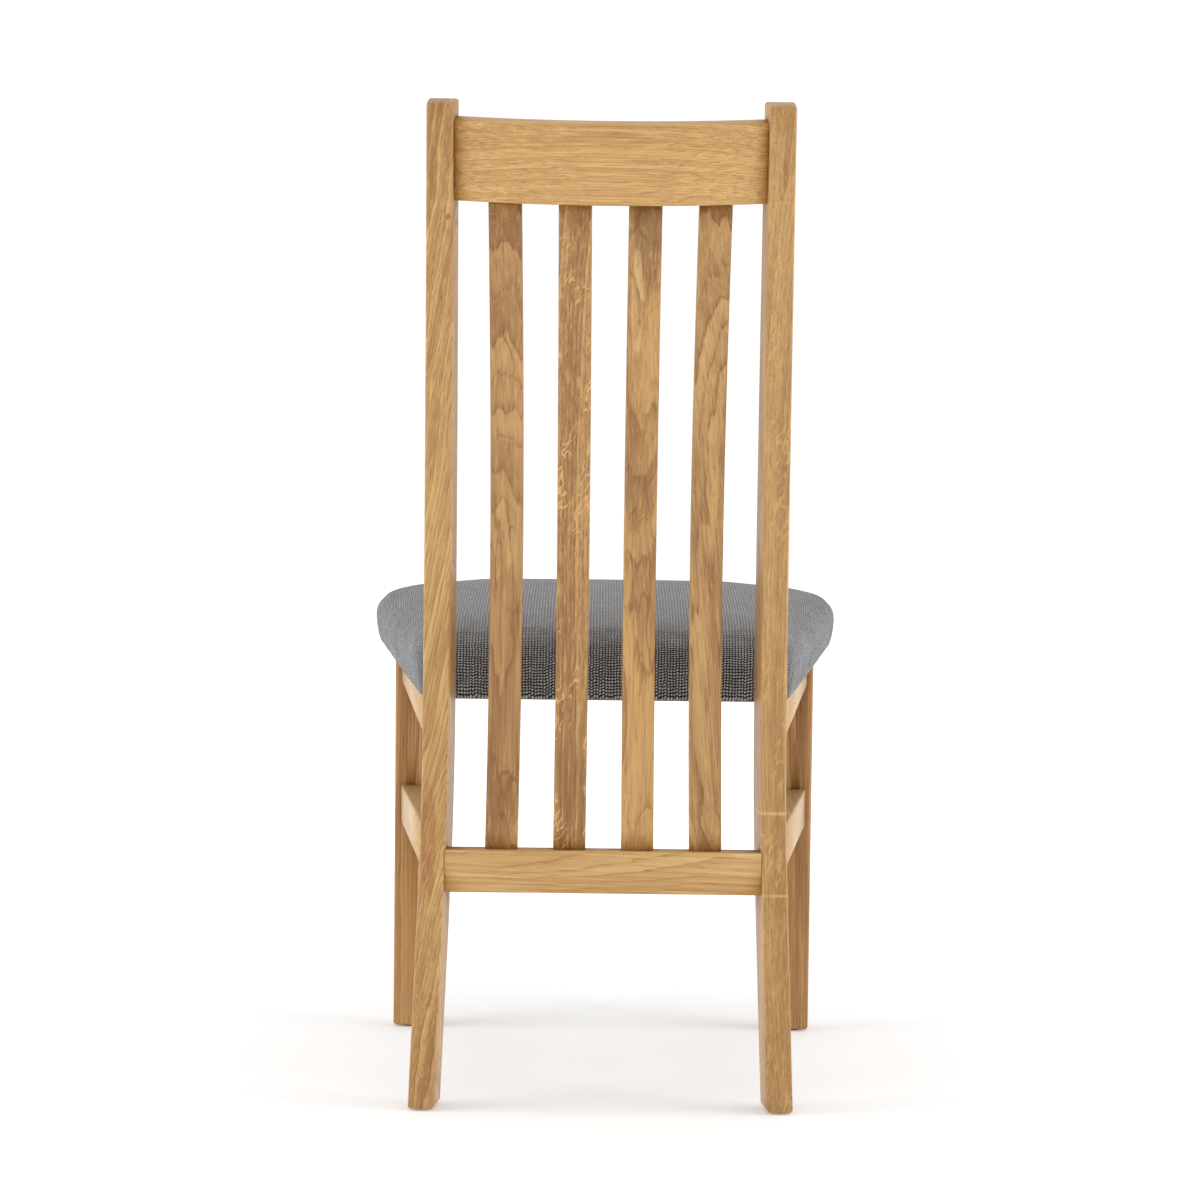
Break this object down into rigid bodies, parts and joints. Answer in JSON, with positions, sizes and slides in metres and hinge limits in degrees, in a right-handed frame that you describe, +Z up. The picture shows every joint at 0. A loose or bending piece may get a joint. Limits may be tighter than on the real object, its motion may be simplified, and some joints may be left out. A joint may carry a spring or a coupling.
{
  "type": "dining chair",
  "caption": "Oak dining chair with a raked slatted back, curved top rail, side stretchers and a padded seat in grey woven cloth.",
  "frame": {"origin": "on the floor, at the middle of the chair's footprint box", "axes": "+Z up; the chair faces -Y, its back is at +Y; +X is the sitter's left"},
  "size_m": [0.509, 0.5162, 0.9996],
  "materials": {
    "oak_frame": "satin lacquered oak",
    "oak_top_rail": "satin lacquered oak, fine straight grain",
    "oak_low_rail": "satin lacquered oak, wavy grain",
    "oak_post_left": "satin lacquered oak, sweeping grain",
    "oak_post_right": "satin lacquered oak",
    "oak_slat_1": "satin lacquered oak",
    "oak_slat_2": "satin lacquered oak with a dark heart streak",
    "oak_slat_3": "satin lacquered oak, quarter sawn with ray flecks",
    "oak_slat_4": "satin lacquered oak",
    "block_wood": "planed softwood",
    "plywood": "sanded plywood",
    "foam": "open cell upholstery foam",
    "seat_cloth": "grey basket weave cloth",
    "dust_cloth": "thin black felted cloth",
    "glide_plastic": "dark brown moulded plastic",
    "screw_steel": "zinc plated steel"
  },
  "bodies": {
    "root": {"side_seat_rail_left": "oak_frame", "side_stretcher_left": "oak_frame", "rear_post_left": "oak_post_left", "front_leg_left": "oak_frame", "side_seat_rail_right": "oak_frame", "side_stretcher_right": "oak_frame", "rear_post_right": "oak_post_right", "front_leg_right": "oak_frame", "top_rail": "oak_top_rail", "lower_back_rail": "oak_low_rail", "front_seat_rail": "oak_frame", "seat_cross_rail": "oak_frame", "back_slat_1": "oak_slat_1", "back_slat_2": "oak_slat_2", "back_slat_3": "oak_slat_3", "back_slat_4": "oak_slat_4", "foot_glide_rear_left": "glide_plastic", "foot_glide_rear_right": "glide_plastic", "foot_glide_front_left": "glide_plastic", "foot_glide_front_right": "glide_plastic", "seat_board": "plywood", "seat_foam": "foam", "seat_cover": "seat_cloth", "dust_cover": "dust_cloth", "corner_block_left": "block_wood", "corner_block_right": "block_wood", "seat_screw_front_left": "screw_steel", "seat_screw_front_right": "screw_steel", "seat_screw_rear_left": "screw_steel", "seat_screw_rear_right": "screw_steel", "block_screw_left_a": "screw_steel", "block_screw_right_a": "screw_steel", "block_screw_left_b": "screw_steel", "block_screw_right_b": "screw_steel"}
  },
  "joints": []
}
